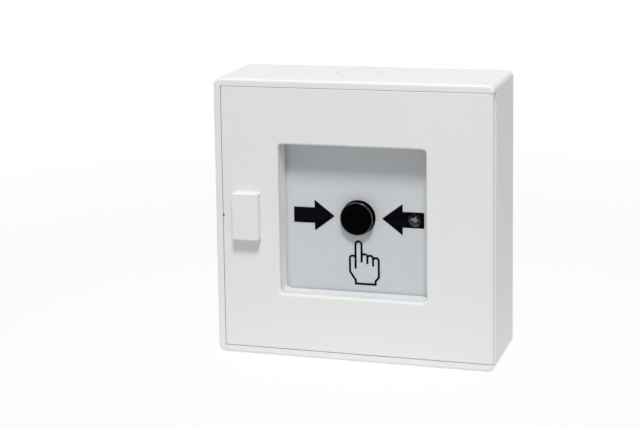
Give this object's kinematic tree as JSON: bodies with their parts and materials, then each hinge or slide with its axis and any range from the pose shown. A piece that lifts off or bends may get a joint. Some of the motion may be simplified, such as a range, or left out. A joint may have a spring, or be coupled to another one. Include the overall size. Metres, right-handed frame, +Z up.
{
  "type": "manual fire alarm call point",
  "caption": "Square white wall box with a hinged door, a glass window and, behind it, a plate with a black push button, arrows and a hand sign.",
  "frame": {"origin": "centre of the back face of the box, which lies on the wall", "axes": "+Z up, +X to the right as seen from the front, +Y into the wall; the door faces -Y"},
  "size_m": [0.135, 0.0556, 0.1355],
  "materials": {
    "housing_white": "fine satin moulded plastic, pure white",
    "door_white": "satin moulded plastic, pure white",
    "frame_white": "satin moulded plastic, pure white",
    "plate_white": "satin moulded plastic, cool white",
    "print_black": "screen-printed black ink",
    "button_black": "smooth black moulded plastic",
    "pane_glass": "thin clear glass with cut edges",
    "lamp_clear": "clear cast lamp body",
    "steel": "zinc-plated steel",
    "spring_steel": "bright spring steel",
    "lock_metal": "nickel-plated brass lock core",
    "switch_black": "black moulded plastic",
    "board_green": "green solder resist on glass-fibre board",
    "terminal_grey": "grey moulded plastic",
    "base_grey": "pale grey moulded plastic",
    "plunger_red": "red moulded plastic"
  },
  "bodies": {
    "housing": {"back_box": "housing_white", "hinge_pin_top": "steel", "hinge_pin_bottom": "steel", "front_plate": "plate_white", "printed_arrows": "print_black", "printed_hand": "print_black", "module_base": "base_grey", "module_screws": "steel", "circuit_board": "board_green", "board_screws": "steel", "microswitch": "switch_black", "terminal_block": "terminal_grey", "terminal_screws": "steel", "indicator_led": "lamp_clear", "led_spacer": "switch_black", "led_leads": "steel", "button_spring": "spring_steel", "reset_spring": "spring_steel"},
    "door": {"door_panel": "door_white", "glass_pane": "pane_glass", "pane_frame": "frame_white", "frame_screws": "steel", "lock_cover": "door_white", "cover_screws": "steel", "bolt_keeper": "steel", "keeper_screws": "steel"},
    "lock": {"lock_barrel": "lock_metal"},
    "bolt": {"latch_bolt": "steel"},
    "push_button": {"button": "button_black"},
    "switch_arm": {"switch_lever": "spring_steel"},
    "switch_pin": {"switch_plunger": "plunger_red"},
    "reset": {"reset_slide": "base_grey"}
  },
  "joints": [
    {"name": "door_hinge", "type": "hinge", "parent": "housing", "child": "door", "pos_m": [0.065, -0.048, 0], "axis": [0, 0, 1], "range_deg": [0, 120]},
    {"name": "button_press", "type": "slide", "parent": "housing", "child": "push_button", "axis": [0, 1, 0], "range_m": [0, 0.0035], "stiffness_N_per_m": 500, "springref_m": -0.003, "deforming": ["button_spring"]},
    {"name": "switch_lever_turn", "type": "hinge", "parent": "housing", "child": "switch_arm", "pos_m": [-0.0312, -0.0264, 0], "axis": [0, 0, 1], "range_deg": [0, 8.75]},
    {"name": "switch_plunger_push", "type": "slide", "parent": "housing", "child": "switch_pin", "axis": [0, 1, 0], "range_m": [0, 0.00092]},
    {"name": "lock_turn", "type": "hinge", "parent": "door", "child": "lock", "pos_m": [-0.0511, -0.0524, 0.0015], "axis": [0, 0, 1], "range_deg": [0, 45]},
    {"name": "bolt_slide", "type": "slide", "parent": "door", "child": "bolt", "axis": [-1, 0, 0], "range_m": [0, 0.00475]},
    {"name": "reset_push", "type": "slide", "parent": "housing", "child": "reset", "axis": [0, 0, -1], "range_m": [0, 0.0016], "stiffness_N_per_m": 300, "springref_m": -0.003, "deforming": ["reset_spring"]}
  ],
  "couplings": [
    {"joint": "switch_lever_turn", "follows": "button_press", "rad_per_m": 43.478},
    {"joint": "switch_plunger_push", "follows": "button_press", "ratio": 0.26087},
    {"joint": "lock_turn", "follows": "bolt_slide", "rad_per_m": 165.51}
  ]
}
